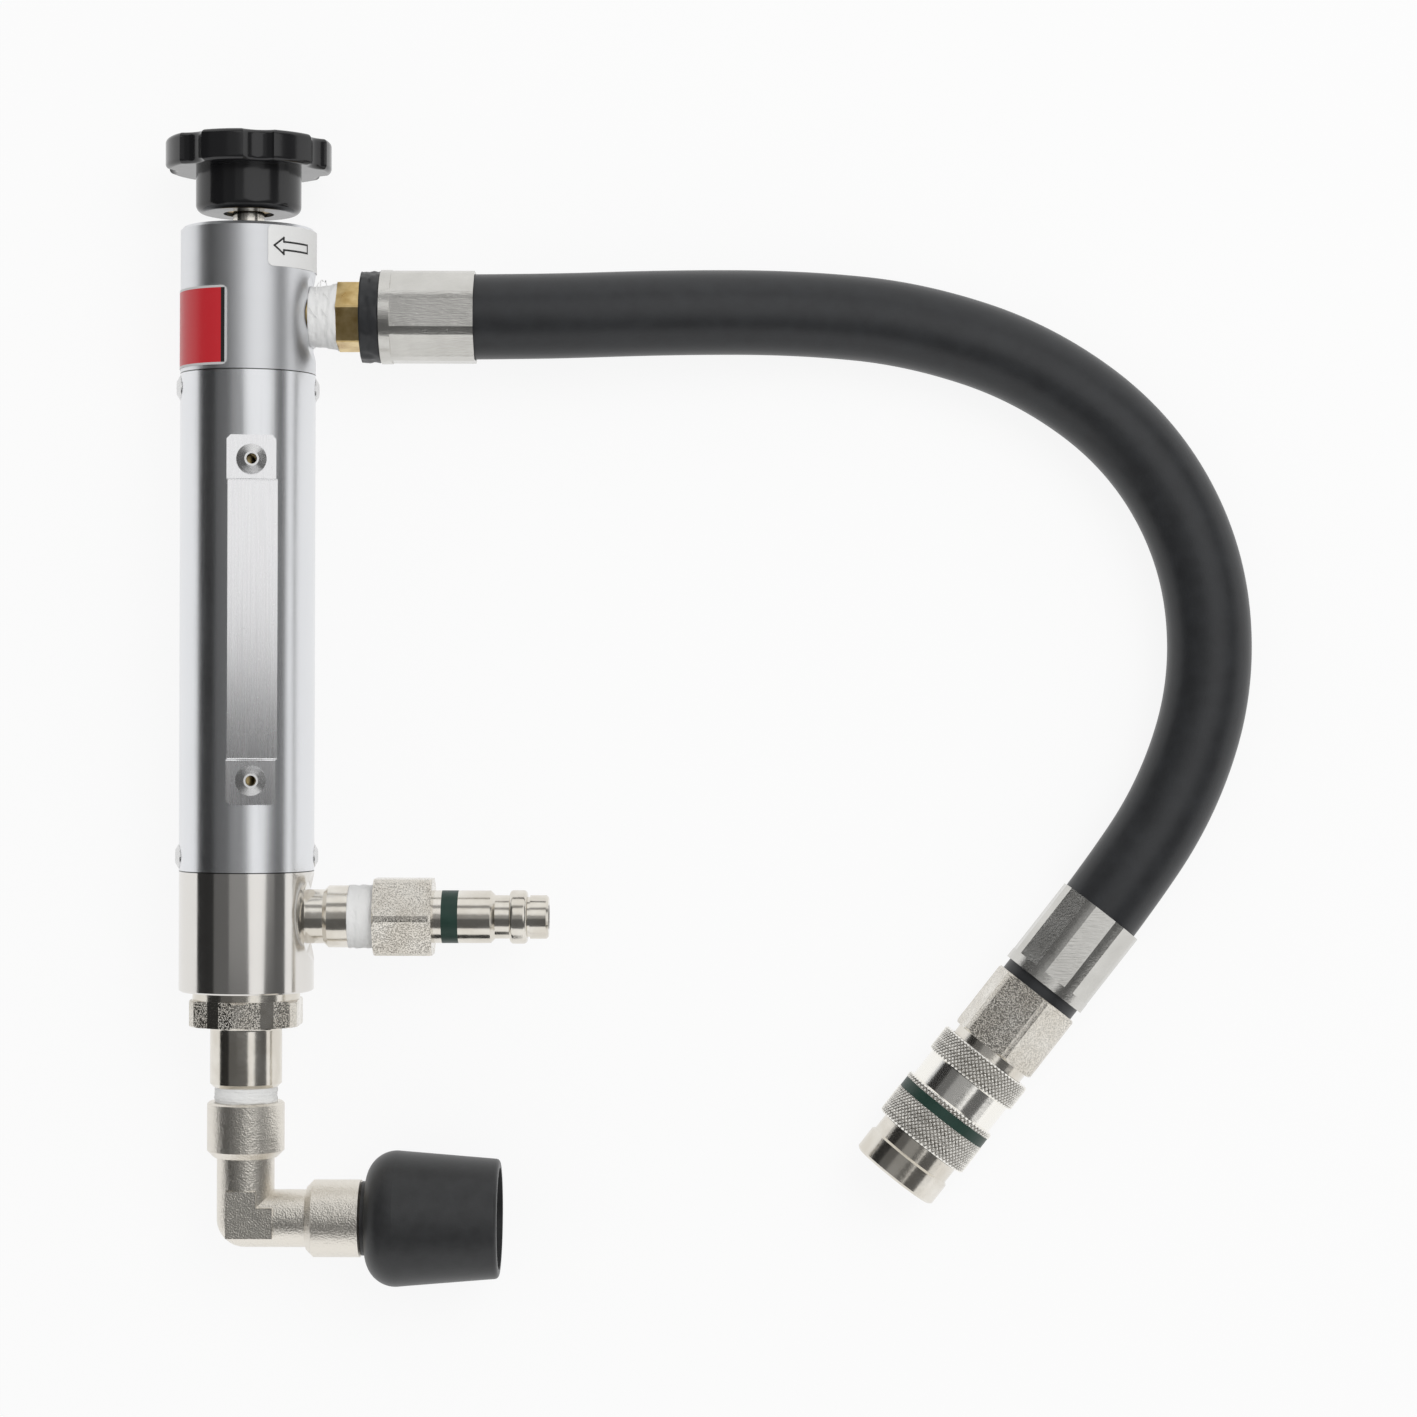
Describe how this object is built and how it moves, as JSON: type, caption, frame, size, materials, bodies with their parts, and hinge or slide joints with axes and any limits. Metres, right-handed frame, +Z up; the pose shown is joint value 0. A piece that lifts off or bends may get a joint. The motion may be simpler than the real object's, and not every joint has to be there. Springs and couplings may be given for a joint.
{
  "type": "vortex air warmer",
  "caption": "Compressed air warmer: a vortex tube with a knob valve, supply plug, cold exhaust elbow and a hose that ends in a quick coupling.",
  "frame": {"origin": "middle of the footprint of the tool without its hose, on the surface that it lies on", "axes": "+Y along the tube towards the knob, +X the way the supply plug points, +Z up, the belt clip's side"},
  "size_m": [0.2442, 0.2558, 0.0415],
  "materials": {
    "knob_plastic": "moulded black phenolic, glossy",
    "anodised_aluminium": "satin anodised",
    "polished_aluminium": "polished tube",
    "bright_nickel": "bright nickel plate",
    "satin_nickel": "nickel plated brass, satin",
    "cast_nickel": "nickel plated casting with a fine grain",
    "clip_steel": "stainless sheet",
    "ferrule_steel": "crimped stainless",
    "fastener_steel": "plated steel",
    "spring_steel": "spring wire",
    "plain_brass": "machined brass",
    "sintered_bronze": "porous sintered bronze",
    "black_rubber": "black rubber",
    "seal_rubber": "nitrile rubber",
    "green_band": "dark green plastic ring",
    "white_tape": "white thread sealing tape",
    "white_foil": "white printed foil",
    "red_foil": "red printed foil",
    "moulded_nylon": "moulded nylon"
  },
  "bodies": {
    "root": {"spindle_gland": "plain_brass", "spindle_o_ring": "seal_rubber", "upper_body": "anodised_aluminium", "arrow_label": "white_foil", "red_label": "red_foil", "outer_sleeve": "polished_aluminium", "sleeve_screws": "fastener_steel", "belt_clip": "clip_steel", "clip_rivets": "fastener_steel", "hot_tube": "plain_brass", "vortex_generator": "moulded_nylon", "generator_o_ring": "seal_rubber", "tube_o_ring": "seal_rubber", "lower_body": "bright_nickel", "inlet_adapter": "satin_nickel", "inlet_tape": "white_tape", "supply_plug": "satin_nickel", "plug_band": "green_band", "cold_end_cap": "satin_nickel", "cold_end_tape": "white_tape", "elbow": "cast_nickel", "silencer": "sintered_bronze", "rubber_shroud": "black_rubber", "outlet_tape": "white_tape", "hose_tail": "plain_brass", "ferrule_inner": "ferrule_steel", "hose": "black_rubber", "ferrule_outer": "ferrule_steel", "coupling_tail": "satin_nickel", "coupling_body": "satin_nickel", "sleeve_spring": "spring_steel", "locking_balls": "spring_steel", "poppet_spring": "spring_steel", "plug_seal": "seal_rubber"},
    "valve_spindle": {"valve_spindle": "satin_nickel"},
    "control_knob": {"control_knob": "knob_plastic", "knob_insert": "plain_brass"},
    "coupling_sleeve": {"coupling_sleeve": "satin_nickel", "sleeve_band": "green_band"},
    "valve_poppet": {"valve_poppet": "plain_brass"}
  },
  "joints": [
    {"name": "spindle_travel", "type": "slide", "parent": "root", "child": "valve_spindle", "axis": [0, 1, 0], "range_m": [-0.0016, 0.0016]},
    {"name": "knob_turn", "type": "hinge", "parent": "valve_spindle", "child": "control_knob", "pos_m": [-0.02471, 0.1182, 0.0184], "axis": [0, 1, 0], "range_deg": [-540, 540]},
    {"name": "sleeve_pull", "type": "slide", "parent": "root", "child": "coupling_sleeve", "axis": [0.6143, 0.7891, 0], "range_m": [0, 0.002], "stiffness_N_per_m": 800, "springref_m": -0.004, "deforming": ["sleeve_spring"]},
    {"name": "poppet_push", "type": "slide", "parent": "root", "child": "valve_poppet", "axis": [0.6143, 0.7891, 0], "range_m": [0, 0.004], "stiffness_N_per_m": 300, "springref_m": -0.004, "deforming": ["poppet_spring"]}
  ],
  "couplings": [
    {"joint": "spindle_travel", "follows": "knob_turn", "m_per_rad": 0.00015915}
  ]
}
